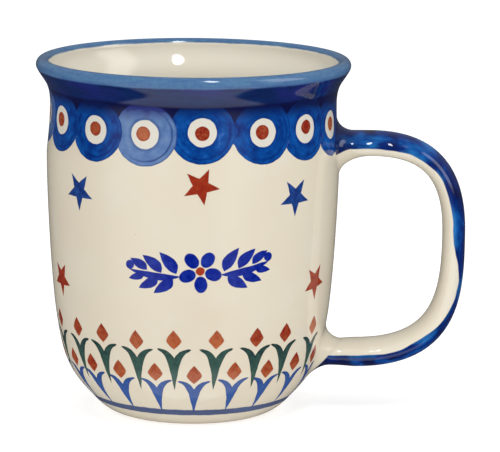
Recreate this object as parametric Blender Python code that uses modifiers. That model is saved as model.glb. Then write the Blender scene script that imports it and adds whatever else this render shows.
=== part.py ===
"""A glazed stoneware mug: a turned cup, a strap handle and the two rolls of slip that join them.

Metres, +Z up. The mug stands on Z = 0 with its handle towards +X, and the origin is the middle of
its footprint box, so the cup's own axis stands a little to -X.
"""

import math

import bmesh
import bpy
from mathutils import Vector
from mathutils.geometry import interpolate_bezier

COLLECTION = "polish_stoneware_mug"

# Cup, outside: radii and heights on the cup's own axis
HEIGHT = 0.101
RIM_RADIUS = 0.0445
LIP_ROLL = 0.00195
LIP_UNDERSIDE_DEG = -28.0
NECK = (0.04055, 0.0882)
BELLY = (0.04150, 0.0733)
KNEE = (0.03890, 0.0284)
KNEE_LEAN = 0.14
FOOT_SHOULDER = (0.02865, 0.0045)
FOOT_REST_OUTER = 0.0216
FOOT_REST_INNER = 0.0172
FOOT_RECESS = 0.0016

# Cup, inside
WALL = 0.0038
FLOOR = 0.0065
FLOOR_FLAT = 0.0130
INNER_KNEE = (0.0349, 0.0300)
INNER_KNEE_LEAN = 0.10
INNER_THROAT = (0.0369, 0.0885)

# Handle: an oval strap on a planar centre line, measured from the cup's axis
STRAP_THICK = 0.0069
STRAP_WIDE = 0.0140
UPPER_ARM = 0.0768
LOWER_ARM = 0.0160
UPPER_BEND = 0.0501
LOWER_BEND = 0.0470
LOOP_OUT = 0.0745
LOOP_HEIGHT = 0.0511
UPPER_FULLNESS = (0.56, 0.805)
LOWER_FULLNESS = (0.98, 0.485)
UPPER_SWELL = 1.03
LOOP_SWELL = 0.94
LOWER_SWELL = 1.14
LOWER_ROOT_SWELL = 1.04
ROOT_DEPTH = 0.0060
ROOT_NECK = 0.0030
ROOT_PULL = 0.0040

# Slip rolls: how far each cove reaches along the strap and along the wall
COVE_UPPER_FINGERS = (0.0097, 0.0055)
COVE_LOWER_FINGERS = (0.0070, 0.0055)
COVE_FAR_SIDE = (0.0046, 0.0042)
COVE_EDGE = (0.0038, 0.0036)
COVE_BLUNT = 0.0004

GAP = 0.0003
MERGE = 0.00001

TURN_STEPS = 56
STRAP_STEPS = 9
OVAL_STEPS = 6
COVE_STEPS = 5
COVE_AROUND = 32

AXIS_X = (RIM_RADIUS - LOOP_OUT - STRAP_THICK / 2 * LOOP_SWELL) / 2

CREAM = (0.78, 0.71, 0.58, 1.0)
COBALT = (0.010, 0.055, 0.260, 1.0)
SLIP_BLUE = (0.030, 0.080, 0.280, 1.0)
SLIP_CREAM = (0.72, 0.65, 0.53, 1.0)


def clear_scene():
    for item in list(bpy.data.objects):
        bpy.data.objects.remove(item, do_unlink=True)


def new_collection(name):
    collection = bpy.data.collections.new(name)
    bpy.context.scene.collection.children.link(collection)
    return collection


def glaze(name, colour, roughness):
    material = bpy.data.materials.new(name)
    material.use_nodes = True
    shader = material.node_tree.nodes["Principled BSDF"]
    shader.inputs["Base Color"].default_value = colour
    shader.inputs["Roughness"].default_value = roughness
    shader.inputs["Metallic"].default_value = 0.0
    return material


def arc(centre, radius, start_deg, end_deg, steps):
    """Points (r, z) on a circle, both ends included."""
    points = []
    for step in range(steps + 1):
        angle = math.radians(start_deg + (end_deg - start_deg) * step / steps)
        points.append((centre[0] + radius * math.cos(angle), centre[1] + radius * math.sin(angle)))
    return points


def sweep(start, start_pull, end_pull, end, steps):
    """Points (r, z) on a Bezier curve; each pull is an offset from its own end."""
    knots = (
        Vector((start[0], start[1], 0)),
        Vector((start[0] + start_pull[0], start[1] + start_pull[1], 0)),
        Vector((end[0] + end_pull[0], end[1] + end_pull[1], 0)),
        Vector((end[0], end[1], 0)),
    )
    return [(point.x, point.y) for point in interpolate_bezier(*knots, steps + 1)]


def join_runs(*runs):
    """One list of points from runs that start where the last one ended."""
    points = list(runs[0])
    for run in runs[1:]:
        points.extend(run[1:])
    return points


def lip_centre():
    return (RIM_RADIUS - LIP_ROLL, HEIGHT - LIP_ROLL)


def outside_run():
    """The cup's outside from under the lip down to the foot's resting edge."""
    under_lip = arc(lip_centre(), LIP_ROLL, 0, LIP_UNDERSIDE_DEG, 1)[-1]
    flare = sweep(under_lip, (-0.00184, -0.00346), (0, 0.0059), NECK, 6)
    shoulder = sweep(NECK, (0, -0.0074), (0, 0.0032), BELLY, 4)
    side = sweep(BELLY, (0, -0.0105), (KNEE_LEAN * 0.0102, 0.0102), KNEE, 5)
    bowl = sweep(KNEE, (-KNEE_LEAN * 0.0135, -0.0135), (0.0066, 0.0068), FOOT_SHOULDER, 8)
    foot = sweep(FOOT_SHOULDER, (-0.0008, -0.0011), (0.0029, 0), (FOOT_REST_OUTER, 0), 4)
    return join_runs(flare, shoulder, side, bowl, foot)


def inside_run():
    """The cup's inside from the middle of the floor up to the lip."""
    lip_inside = (RIM_RADIUS - 2 * LIP_ROLL, HEIGHT - LIP_ROLL)
    belly = (BELLY[0] - WALL, BELLY[1])
    corner = sweep((FLOOR_FLAT, FLOOR), (0.0135, 0), (-INNER_KNEE_LEAN * 0.0130, -0.0130), INNER_KNEE, 7)
    side = sweep(INNER_KNEE, (INNER_KNEE_LEAN * 0.0120, 0.0120), (0, -0.0160), belly, 4)
    throat = sweep(belly, (0, 0.0050), (0, -0.0050), INNER_THROAT, 2)
    flare = sweep(INNER_THROAT, (0, 0.0052), (-0.0004, -0.0036), lip_inside, 5)
    return join_runs([(0, FLOOR), (FLOOR_FLAT, FLOOR)], corner, side, throat, flare)


def cup_profile():
    """The cup's section: up the inside, over the lip, down the outside and under the foot."""
    lip = arc(lip_centre(), LIP_ROLL, 180, LIP_UNDERSIDE_DEG, 9)
    hollow = FOOT_REST_INNER - FOOT_RECESS
    under_foot = [(FOOT_REST_OUTER, 0), (FOOT_REST_INNER, 0), (hollow, FOOT_RECESS), (0, FOOT_RECESS)]
    return join_runs(inside_run(), lip, outside_run(), under_foot)


def wall_profile(gap):
    """A solid turned shape that follows the cup's outside, a gap larger."""
    side = [(radius + gap, height) for radius, height in outside_run() if height > 0]
    top = side[0][1]
    bottom = side[-1][1]
    return [(0, top)] + side + [(0, bottom)]


def turned(name, profile, collection):
    """A solid of revolution about the cup's axis."""
    mesh = bpy.data.meshes.new(name)
    vertices = [(radius, 0, height) for radius, height in profile]
    edges = [(i, i + 1) for i in range(len(vertices) - 1)]
    mesh.from_pydata(vertices, edges, [])
    shape = bpy.data.objects.new(name, mesh)
    collection.objects.link(shape)
    shape.location.x = AXIS_X
    screw = shape.modifiers.new("turn", "SCREW")
    screw.axis = "Z"
    screw.steps = TURN_STEPS
    screw.render_steps = TURN_STEPS
    screw.use_merge_vertices = True
    screw.merge_threshold = MERGE
    screw.use_smooth_shade = True
    return shape


def oval_guide(collection):
    """The strap's cross-section: a closed oval, thick across and wide along."""
    curve = bpy.data.curves.new("strap_section", "CURVE")
    curve.dimensions = "2D"
    curve.resolution_u = OVAL_STEPS
    spline = curve.splines.new("BEZIER")
    spline.bezier_points.add(3)
    pull = 4 / 3 * math.tan(math.pi / 8)
    for i, point in enumerate(spline.bezier_points):
        angle = math.pi / 2 * i
        across = Vector((STRAP_WIDE / 2 * math.cos(angle), STRAP_THICK / 2 * math.sin(angle), 0))
        along = Vector((-STRAP_WIDE / 2 * math.sin(angle), STRAP_THICK / 2 * math.cos(angle), 0))
        point.co = across
        point.handle_left = across - along * pull
        point.handle_right = across + along * pull
    spline.use_cyclic_u = True
    guide = bpy.data.objects.new("strap_section", curve)
    collection.objects.link(guide)
    guide.hide_render = True
    guide.display_type = "WIRE"
    return guide


def strap_stations():
    """The centre line's knots: place, pull back, pull forward and swell."""
    over = (LOOP_OUT - UPPER_BEND) * UPPER_FULLNESS[0]
    down = (UPPER_ARM - LOOP_HEIGHT) * UPPER_FULLNESS[1]
    drop = (LOOP_HEIGHT - LOWER_ARM) * LOWER_FULLNESS[1]
    back = (LOOP_OUT - LOWER_BEND) * LOWER_FULLNESS[0]
    upper_root = wall_radius(UPPER_ARM) - ROOT_DEPTH
    lower_root = wall_radius(LOWER_ARM) - ROOT_DEPTH
    lower_neck = wall_radius(LOWER_ARM) + ROOT_NECK
    return [
        ((upper_root, UPPER_ARM), (-ROOT_PULL, 0), (ROOT_PULL, 0), UPPER_SWELL),
        ((UPPER_BEND, UPPER_ARM), (-ROOT_PULL, 0), (over, 0), UPPER_SWELL),
        ((LOOP_OUT, LOOP_HEIGHT), (0, down), (0, -drop), LOOP_SWELL),
        ((LOWER_BEND, LOWER_ARM), (back, 0), (-ROOT_PULL / 2, 0), LOWER_SWELL),
        ((lower_neck, LOWER_ARM), (ROOT_PULL, 0), (-ROOT_PULL / 2, 0), LOWER_ROOT_SWELL),
        ((lower_root, LOWER_ARM), (ROOT_PULL / 2, 0), (-ROOT_PULL / 2, 0), LOWER_ROOT_SWELL),
    ]


def strap_curve(guide, collection):
    """The handle as a bevelled curve that runs a little way into the wall at both ends."""
    curve = bpy.data.curves.new("strap_line", "CURVE")
    curve.dimensions = "3D"
    curve.resolution_u = STRAP_STEPS
    curve.bevel_mode = "OBJECT"
    curve.bevel_object = guide
    curve.use_fill_caps = True
    curve.twist_mode = "MINIMUM"
    spline = curve.splines.new("BEZIER")
    stations = strap_stations()
    spline.bezier_points.add(len(stations) - 1)
    for point, (place, pull_back, pull_on, swell) in zip(spline.bezier_points, stations):
        spot = Vector((place[0], 0, place[1]))
        point.co = spot
        point.handle_left = spot + Vector((pull_back[0], 0, pull_back[1]))
        point.handle_right = spot + Vector((pull_on[0], 0, pull_on[1]))
        point.radius = swell
    line = bpy.data.objects.new("strap_line", curve)
    collection.objects.link(line)
    line.location.x = AXIS_X
    return line


def as_mesh(source, name, collection):
    """A mesh object made from a curve, with its caps welded on; the curve is removed."""
    bpy.context.view_layer.update()
    evaluated = source.evaluated_get(bpy.context.evaluated_depsgraph_get())
    mesh = bpy.data.meshes.new_from_object(evaluated)
    mesh.name = name
    solid = bmesh.new()
    solid.from_mesh(mesh)
    bmesh.ops.remove_doubles(solid, verts=solid.verts, dist=MERGE)
    bmesh.ops.recalc_face_normals(solid, faces=solid.faces)
    solid.to_mesh(mesh)
    solid.free()
    shape = bpy.data.objects.new(name, mesh)
    shape.matrix_world = source.matrix_world
    collection.objects.link(shape)
    bpy.data.objects.remove(source)
    return shape


def cut(shape, cutter):
    cutter.hide_render = True
    cutter.display_type = "WIRE"
    boolean = shape.modifiers.new("cut", "BOOLEAN")
    boolean.operation = "DIFFERENCE"
    boolean.object = cutter


def shade(shape):
    shape.data.shade_smooth()
    shape.data.set_sharp_from_angle(angle=math.radians(50))


def wall_radius(height):
    """The cup's outside radius at a height, from its own profile."""
    run = outside_run()
    for upper, lower in zip(run, run[1:]):
        if lower[1] <= height <= upper[1]:
            share = (height - lower[1]) / (upper[1] - lower[1])
            return lower[0] + share * (upper[0] - lower[0])
    raise ValueError("height is off the wall")


def cove_reach(facing, fingers_side):
    """How far the slip reaches along strap and wall; facing is 1 to the fingers and -1 away."""
    finger_face = COVE_LOWER_FINGERS if fingers_side > 0 else COVE_UPPER_FINGERS
    face = finger_face if facing > 0 else COVE_FAR_SIDE
    return [edge + (reach - edge) * facing * facing for edge, reach in zip(COVE_EDGE, face)]


def cove_section(along, up):
    """A cove's section as (out from the strap, out from the wall), blunt at both feather edges."""
    inner = GAP + COVE_BLUNT
    points = [(GAP, along), (GAP, GAP), (up, GAP)]
    for step in range(COVE_STEPS + 1):
        angle = math.pi / 2 * step / COVE_STEPS
        out = inner + (up - inner) * (1 - math.sin(angle))
        off = inner + (along - inner) * (1 - math.cos(angle))
        points.append((out, off))
    return points


def slip_roll(name, arm_height, swell, fingers_side, collection):
    """A closed ring of slip round one end of the strap, seated on the wall."""
    half_thick = STRAP_THICK / 2 * swell
    half_wide = STRAP_WIDE / 2 * swell
    solid = bmesh.new()
    rings = []
    for i in range(COVE_AROUND):
        angle = math.tau * i / COVE_AROUND
        cosine, sine = math.cos(angle), math.sin(angle)
        outward = Vector((cosine / half_wide, sine / half_thick)).normalized()
        ring = []
        for out, off in cove_section(*cove_reach(sine * fingers_side, fingers_side)):
            across = half_wide * cosine + outward.x * out
            height = arm_height + half_thick * sine + outward.y * out
            wall = math.sqrt(wall_radius(height) ** 2 - across ** 2)
            ring.append(solid.verts.new((wall + off, across, height)))
        rings.append(ring)
    for i, ring in enumerate(rings):
        following = rings[(i + 1) % COVE_AROUND]
        for k in range(len(ring)):
            n = (k + 1) % len(ring)
            solid.faces.new((ring[k], ring[n], following[n], following[k]))
    bmesh.ops.recalc_face_normals(solid, faces=solid.faces)
    mesh = bpy.data.meshes.new(name)
    solid.to_mesh(mesh)
    solid.free()
    shape = bpy.data.objects.new(name, mesh)
    collection.objects.link(shape)
    shape.location.x = AXIS_X
    return shape


def build():
    clear_scene()
    parts = new_collection(COLLECTION)
    guides = new_collection("guides_and_cutters")

    body = turned("body", cup_profile(), parts)
    body.data.materials.append(glaze("body_glaze", CREAM, 0.12))

    guide = oval_guide(guides)
    handle = as_mesh(strap_curve(guide, parts), "handle", parts)
    handle.data.materials.append(glaze("handle_glaze", COBALT, 0.12))
    cut(handle, turned("wall_cutter", wall_profile(GAP), guides))
    shade(handle)

    upper = slip_roll("upper_luting", UPPER_ARM, UPPER_SWELL, -1, parts)
    upper.data.materials.append(glaze("upper_luting_glaze", SLIP_BLUE, 0.15))
    shade(upper)

    lower = slip_roll("lower_luting", LOWER_ARM, LOWER_ROOT_SWELL, 1, parts)
    lower.data.materials.append(glaze("lower_luting_glaze", SLIP_CREAM, 0.15))
    shade(lower)


build()
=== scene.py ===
"""The looks of a hand-painted stoneware mug: fine surfaces, painted glaze, studio and camera.

Metres, +Z up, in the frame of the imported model. The cup's axis is upright at AXIS_X, the handle
points to +X and the camera looks along +Y. Inside the paint functions lengths are millimetres and
angles are degrees, which keeps their numbers readable.
"""

import math
import random

import bmesh
import bpy
from mathutils import Matrix, Quaternion, Vector
from mathutils.geometry import interpolate_bezier


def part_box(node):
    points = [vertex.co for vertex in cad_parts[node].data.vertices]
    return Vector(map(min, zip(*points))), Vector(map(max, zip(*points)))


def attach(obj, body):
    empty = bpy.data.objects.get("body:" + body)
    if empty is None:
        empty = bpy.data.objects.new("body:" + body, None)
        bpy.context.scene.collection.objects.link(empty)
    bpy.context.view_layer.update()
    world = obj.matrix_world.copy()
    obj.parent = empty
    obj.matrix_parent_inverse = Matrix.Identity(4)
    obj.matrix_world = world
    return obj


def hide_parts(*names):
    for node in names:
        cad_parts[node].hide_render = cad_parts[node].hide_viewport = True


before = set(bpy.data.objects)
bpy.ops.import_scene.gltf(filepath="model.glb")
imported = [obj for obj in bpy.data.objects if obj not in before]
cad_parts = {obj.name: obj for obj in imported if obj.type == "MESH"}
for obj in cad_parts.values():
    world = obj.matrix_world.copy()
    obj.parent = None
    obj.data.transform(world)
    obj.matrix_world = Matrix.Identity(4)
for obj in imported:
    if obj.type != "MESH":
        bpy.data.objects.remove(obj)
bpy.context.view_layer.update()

# ------------------------ driving dimensions, in metres
BODY_LOW, BODY_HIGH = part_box("body")
HEIGHT = BODY_HIGH.z
RIM_RADIUS = BODY_HIGH.y
AXIS_X = (BODY_LOW.x + BODY_HIGH.x) / 2
HANDLE_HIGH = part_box("handle")[1]

# Cup, outside: radii and heights on the cup's own axis
LIP_ROLL = 0.00195
LIP_UNDERSIDE_DEG = -28.0
NECK = (0.04055, 0.0882)
BELLY = (0.04150, 0.0733)
KNEE = (0.03890, 0.0284)
KNEE_LEAN = 0.14
FOOT_SHOULDER = (0.02865, 0.0045)
FOOT_REST_OUTER = 0.0216
FOOT_REST_INNER = 0.0172
FOOT_RECESS = 0.0016

# Cup, outside: how far each point pulls the curve above it, then the curve below it
LIP_PULL = (-0.00184, -0.00346)
NECK_PULLS = (0.0059, 0.0074)
BELLY_PULLS = (0.0032, 0.0105)
KNEE_PULLS = (0.0102, 0.0135)
SHOULDER_PULLS = ((0.0066, 0.0068), (-0.0008, -0.0011))
FOOT_PULL = 0.0029

# Cup, inside
WALL = 0.0038
FLOOR = 0.0065
FLOOR_FLAT = 0.0130
INNER_KNEE = (0.0349, 0.0300)
INNER_KNEE_LEAN = 0.10
INNER_THROAT = (0.0369, 0.0885)
FLOOR_PULL = 0.0135
INNER_KNEE_PULLS = (0.0120, 0.0130)
INNER_BELLY_PULLS = (0.0050, 0.0160)
THROAT_PULLS = (0.0052, 0.0050)
INNER_LIP_PULL = (-0.0004, -0.0036)

# Handle: an oval strap on a planar centre line, measured from the cup's axis
STRAP_THICK = 0.0069
STRAP_WIDE = 0.0140
STRAP_FLAT = 0.0005
UPPER_ARM = 0.0768
LOWER_ARM = 0.0160
UPPER_BEND = 0.0501
LOWER_BEND = 0.0470
LOOP_HEIGHT = 0.0511
UPPER_FULLNESS = (0.56, 0.805)
LOWER_FULLNESS = (0.98, 0.485)
UPPER_SWELL = 1.03
LOOP_SWELL = 0.94
LOWER_SWELL = 1.14
LOWER_ROOT_SWELL = 1.04
LOOP_OUT = HANDLE_HIGH.x - AXIS_X - STRAP_THICK / 2 * LOOP_SWELL
ROOT_DEPTH = 0.0008
ROOT_NECK = 0.0030
ROOT_PULL = 0.0040

# Slip rolls: how far each cove reaches along the strap and along the wall
COVE_UPPER_FINGERS = (0.0097, 0.0055)
COVE_LOWER_FINGERS = (0.0070, 0.0055)
COVE_FAR_SIDE = (0.0046, 0.0042)
COVE_EDGE = (0.0038, 0.0036)
COVE_HIDDEN = 0.00025

# Mesh fineness
CUP_AROUND = 256
STRAP_AROUND = 56
STRAP_STEPS = 40
COVE_AROUND = 96
COVE_STEPS = 14
TANGENT_STEP = 0.001

# A millimetre in metres, and millimetres in a metre
MM = 0.001
PER_METRE = 1000


# ------------------------ outlines
def arc(centre, radius, start_deg, end_deg, steps):
    """Points (r, z) on a circle, both ends included."""
    points = []
    for step in range(steps + 1):
        angle = math.radians(start_deg + (end_deg - start_deg) * step / steps)
        points.append((centre[0] + radius * math.cos(angle), centre[1] + radius * math.sin(angle)))
    return points


def sweep(start, start_pull, end_pull, end, steps):
    """Points (r, z) on a Bezier curve; each pull is an offset from its own end."""
    knots = (
        Vector((start[0], start[1], 0)),
        Vector((start[0] + start_pull[0], start[1] + start_pull[1], 0)),
        Vector((end[0] + end_pull[0], end[1] + end_pull[1], 0)),
        Vector((end[0], end[1], 0)),
    )
    return [(point.x, point.y) for point in interpolate_bezier(*knots, steps + 1)]


def join_runs(*runs):
    """One list of points from runs that start where the last one ended."""
    points = list(runs[0])
    for run in runs[1:]:
        points.extend(run[1:])
    return points


def leaning(pull, lean):
    """An offset up or down that leans out as it rises."""
    return (pull * lean, pull)


def lip_centre():
    return (RIM_RADIUS - LIP_ROLL, HEIGHT - LIP_ROLL)


def outside_run():
    """The cup's outside from under the lip down to the foot's resting edge."""
    under_lip = arc(lip_centre(), LIP_ROLL, 0, LIP_UNDERSIDE_DEG, 1)[-1]
    flare = sweep(under_lip, LIP_PULL, (0, NECK_PULLS[0]), NECK, 20)
    shoulder = sweep(NECK, (0, -NECK_PULLS[1]), (0, BELLY_PULLS[0]), BELLY, 14)
    side = sweep(BELLY, (0, -BELLY_PULLS[1]), leaning(KNEE_PULLS[0], KNEE_LEAN), KNEE, 24)
    bowl = sweep(KNEE, leaning(-KNEE_PULLS[1], KNEE_LEAN), SHOULDER_PULLS[0], FOOT_SHOULDER, 30)
    foot = sweep(FOOT_SHOULDER, SHOULDER_PULLS[1], (FOOT_PULL, 0), (FOOT_REST_OUTER, 0), 12)
    return join_runs(flare, shoulder, side, bowl, foot)


def inside_run():
    """The cup's inside from the middle of the floor up to the lip."""
    lip_inside = (RIM_RADIUS - 2 * LIP_ROLL, HEIGHT - LIP_ROLL)
    belly = (BELLY[0] - WALL, BELLY[1])
    up_from_knee, down_from_knee = INNER_KNEE_PULLS
    under_knee = leaning(-down_from_knee, INNER_KNEE_LEAN)
    over_knee = leaning(up_from_knee, INNER_KNEE_LEAN)
    floor = [(FLOOR_FLAT * step / 4, FLOOR) for step in range(5)]
    corner = sweep((FLOOR_FLAT, FLOOR), (FLOOR_PULL, 0), under_knee, INNER_KNEE, 24)
    side = sweep(INNER_KNEE, over_knee, (0, -INNER_BELLY_PULLS[1]), belly, 20)
    throat = sweep(belly, (0, INNER_BELLY_PULLS[0]), (0, -THROAT_PULLS[1]), INNER_THROAT, 8)
    flare = sweep(INNER_THROAT, (0, THROAT_PULLS[0]), INNER_LIP_PULL, lip_inside, 16)
    return join_runs(floor, corner, side, throat, flare)


def cup_profile():
    """The cup's section, and each point's distance past the lip's crest (minus is inside)."""
    lip = arc(lip_centre(), LIP_ROLL, 180, LIP_UNDERSIDE_DEG, 26)
    hollow = FOOT_REST_INNER - FOOT_RECESS
    ring = [(FOOT_REST_OUTER, 0), (FOOT_REST_INNER, 0), (hollow, FOOT_RECESS)]
    recess = [(hollow * (1 - step / 5), FOOT_RECESS) for step in range(6)]
    points = join_runs(inside_run(), lip, outside_run(), ring, recess)
    crest = max(range(len(points)), key=lambda i: points[i][1])
    travel = [0.0]
    for before, after in zip(points, points[1:]):
        travel.append(travel[-1] + math.dist(before, after))
    return points, [distance - travel[crest] for distance in travel]


OUTSIDE = outside_run()


def wall_radius(height):
    """The cup's outside radius at a height."""
    for upper, lower in zip(OUTSIDE, OUTSIDE[1:]):
        if lower[1] <= height <= upper[1]:
            share = (height - lower[1]) / (upper[1] - lower[1])
            return lower[0] + share * (upper[0] - lower[0])
    raise ValueError("height is off the wall")


# ------------------------ meshes
def in_scene(name, data):
    """A new object, linked to the scene."""
    made = bpy.data.objects.new(name, data)
    bpy.context.scene.collection.objects.link(made)
    return made


def finished(name, solid, sharp_deg):
    """A smooth-shaded object made from a bmesh, standing on the cup's axis."""
    bmesh.ops.recalc_face_normals(solid, faces=solid.faces)
    mesh = bpy.data.meshes.new(name)
    solid.to_mesh(mesh)
    solid.free()
    mesh.transform(Matrix.Translation((AXIS_X, 0, 0)))
    mesh.shade_smooth()
    mesh.set_sharp_from_angle(angle=math.radians(sharp_deg))
    return in_scene(name, mesh)


def make_cup():
    """The turned cup, closed at the middle of its floor and of its foot."""
    points, past_lip = cup_profile()
    solid = bmesh.new()
    travel = solid.verts.layers.float.new("past_lip")
    rings = []
    for (radius, height), distance in zip(points, past_lip):
        count = CUP_AROUND if radius > 0 else 1
        ring = []
        for i in range(count):
            angle = math.tau * i / CUP_AROUND
            vertex = solid.verts.new((radius * math.cos(angle), radius * math.sin(angle), height))
            vertex[travel] = distance / MM
            ring.append(vertex)
        rings.append(ring)
    for ring, following in zip(rings, rings[1:]):
        for i in range(CUP_AROUND):
            n = (i + 1) % CUP_AROUND
            corners = [ring[i % len(ring)], ring[n % len(ring)]]
            corners += [following[n % len(following)], following[i % len(following)]]
            solid.faces.new(list(dict.fromkeys(corners)))
    return finished("glazed_body", solid, 40)


def strap_stations():
    """The strap's centre line: place, pull back, pull forward and swell, from root to root."""
    over = (LOOP_OUT - UPPER_BEND) * UPPER_FULLNESS[0]
    down = (UPPER_ARM - LOOP_HEIGHT) * UPPER_FULLNESS[1]
    drop = (LOOP_HEIGHT - LOWER_ARM) * LOWER_FULLNESS[1]
    back = (LOOP_OUT - LOWER_BEND) * LOWER_FULLNESS[0]
    upper_root = wall_radius(UPPER_ARM) - ROOT_DEPTH
    lower_root = wall_radius(LOWER_ARM) - ROOT_DEPTH
    lower_neck = wall_radius(LOWER_ARM) + ROOT_NECK
    return [
        ((upper_root, UPPER_ARM), (-ROOT_PULL, 0), (ROOT_PULL, 0), UPPER_SWELL),
        ((UPPER_BEND, UPPER_ARM), (-ROOT_PULL, 0), (over, 0), UPPER_SWELL),
        ((LOOP_OUT, LOOP_HEIGHT), (0, down), (0, -drop), LOOP_SWELL),
        ((LOWER_BEND, LOWER_ARM), (back, 0), (-ROOT_PULL / 2, 0), LOWER_SWELL),
        ((lower_neck, LOWER_ARM), (ROOT_PULL, 0), (-ROOT_PULL / 2, 0), LOWER_ROOT_SWELL),
        ((lower_root, LOWER_ARM), (ROOT_PULL / 2, 0), (-ROOT_PULL / 2, 0), LOWER_ROOT_SWELL),
    ]


def smooth_step(share):
    return share * share * (3 - 2 * share)


def strap_line():
    """Places along the strap as (place, outward direction, swell, distance along)."""
    places = []
    swells = []
    stations = strap_stations()
    for (start, _, pull_on, swell), (end, pull_back, _, next_swell) in zip(stations, stations[1:]):
        run = sweep(start, pull_on, pull_back, end, STRAP_STEPS)
        for step, place in enumerate(run):
            if places and step == 0:
                continue
            places.append(Vector(place))
            swells.append(swell + (next_swell - swell) * smooth_step(step / STRAP_STEPS))
    line = []
    travelled = 0.0
    for i, place in enumerate(places):
        before = places[max(i - 1, 0)]
        after = places[min(i + 1, len(places) - 1)]
        heading = (after - before).normalized()
        outward = Vector((-heading.y, heading.x))
        travelled += (place - before).length
        line.append((place, outward, swells[i], travelled))
    return line


def oval(angle, swell):
    """A point of the strap's section as (across, outward): a little flatter on the finger side."""
    across = STRAP_WIDE / 2 * swell * math.cos(angle)
    outward = STRAP_THICK / 2 * swell * math.sin(angle) - STRAP_FLAT * math.cos(angle) ** 2
    return across, outward


def seat_on_wall(across, height, off):
    """How far along X from the cup's axis a point of the wall lies, pushed out by off."""
    return math.sqrt(wall_radius(height) ** 2 - across ** 2) + off


def make_handle():
    """The strap handle, with both ends sunk a little way into the wall."""
    solid = bmesh.new()
    paint = solid.verts.layers.float_vector.new("strap")
    line = strap_line()
    total = line[-1][3]
    rings = []
    for place, outward, swell, travelled in line:
        ring = []
        for i in range(STRAP_AROUND):
            across, out = oval(math.tau * i / STRAP_AROUND, swell)
            x = place.x + outward.x * out
            z = place.y + outward.y * out
            if travelled in (0, total):
                x = seat_on_wall(across, z, -ROOT_DEPTH)
            vertex = solid.verts.new((x, across, z))
            vertex[paint] = (travelled / MM, out / MM, (total - travelled) / MM)
            ring.append(vertex)
        rings.append(ring)
    for ring, following in zip(rings, rings[1:]):
        for i in range(STRAP_AROUND):
            n = (i + 1) % STRAP_AROUND
            solid.faces.new((ring[i], ring[n], following[n], following[i]))
    solid.faces.new(rings[0])
    solid.faces.new(rings[-1])
    return finished("glazed_handle", solid, 50)


def cove_reach(facing, fingers_side):
    """How far the slip reaches along strap and wall; facing is 1 to the fingers and -1 away."""
    finger_face = COVE_LOWER_FINGERS if fingers_side > 0 else COVE_UPPER_FINGERS
    face = finger_face if facing > 0 else COVE_FAR_SIDE
    return [edge + (reach - edge) * facing * facing for edge, reach in zip(COVE_EDGE, face)]


def cove_section(along, up):
    """A cove's section as (out from the strap, out from the wall), closed inside the clay."""
    points = [(-COVE_HIDDEN, along), (-COVE_HIDDEN, -COVE_HIDDEN), (up, -COVE_HIDDEN)]
    for step in range(COVE_STEPS + 1):
        angle = math.pi / 2 * step / COVE_STEPS
        points.append((up * (1 - math.sin(angle)), along * (1 - math.cos(angle))))
    return points


def make_slip_roll(name, arm_height, swell, fingers_side):
    """The wiped roll of slip round one end of the strap, tangent to the strap and to the wall.

    fingers_side is +1 where the finger gap is above the arm and -1 where it is below.
    """
    solid = bmesh.new()
    paint = solid.verts.layers.float_vector.new("strap")
    total = strap_line()[-1][3]
    rings = []
    for i in range(COVE_AROUND):
        angle = math.tau * i / COVE_AROUND
        across, raised = oval(angle, swell)
        beyond, beyond_raised = oval(angle + TANGENT_STEP, swell)
        outward = Vector((beyond_raised - raised, across - beyond)).normalized()
        ring = []
        for out, off in cove_section(*cove_reach(-math.sin(angle), fingers_side)):
            y = across + outward.x * out
            outer = raised + outward.y * out
            z = arm_height - fingers_side * outer
            travelled = total - off if fingers_side > 0 else off
            vertex = solid.verts.new((seat_on_wall(y, z, off), y, z))
            vertex[paint] = (travelled / MM, outer / MM, (total - travelled) / MM)
            ring.append(vertex)
        rings.append(ring)
    for i, ring in enumerate(rings):
        following = rings[(i + 1) % COVE_AROUND]
        for k in range(len(ring)):
            n = (k + 1) % len(ring)
            solid.faces.new((ring[k], ring[n], following[n], following[k]))
    return finished(name, solid, 50)


# ------------------------ arithmetic on shader nodes
def operator(operation):
    """What Python runs for a field with this sign after it."""
    return lambda field, other: calc(operation, field, other)


def swapped_operator(operation):
    """The same for a field that stands after the sign."""
    return lambda field, other: calc(operation, other, field)


class Field:
    """A number that varies over the surface: a node's output, with ordinary arithmetic."""

    __add__ = operator("ADD")
    __radd__ = swapped_operator("ADD")
    __sub__ = operator("SUBTRACT")
    __rsub__ = swapped_operator("SUBTRACT")
    __mul__ = operator("MULTIPLY")
    __rmul__ = swapped_operator("MULTIPLY")
    __truediv__ = operator("DIVIDE")
    __pow__ = operator("POWER")

    def __init__(self, socket):
        self.socket = socket


def node_tree(values):
    """The node tree that the first field among the values is in."""
    return next(value.socket.id_data for value in values if isinstance(value, Field))


def plug(socket, value):
    """Feeds a socket from a field, or sets it to a plain number or colour."""
    if isinstance(value, Field):
        socket.id_data.links.new(value.socket, socket)
    else:
        socket.default_value = value


def fed_node(kind, *values):
    """A shader node with its first sockets fed from the values."""
    node = node_tree(values).nodes.new("ShaderNode" + kind)
    for socket, value in zip(node.inputs, values):
        plug(socket, value)
    return node


def calc(operation, *values, clamp=False):
    """One arithmetic node on fields and plain numbers."""
    node = fed_node("Math", *values)
    node.operation = operation
    node.use_clamp = clamp
    return Field(node.outputs[0])


def least(first, *others):
    for other in others:
        first = calc("MINIMUM", first, other)
    return first


def most(first, *others):
    for other in others:
        first = calc("MAXIMUM", first, other)
    return first


def size_of(value):
    return calc("ABSOLUTE", value)


def length_of(across, up):
    return calc("SQRT", across * across + up * up)


def direction_of(across, up):
    """The angle of (across, up) in degrees, counter-clockwise from +across."""
    return calc("ARCTAN2", up, across) * (180 / math.pi)


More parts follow.
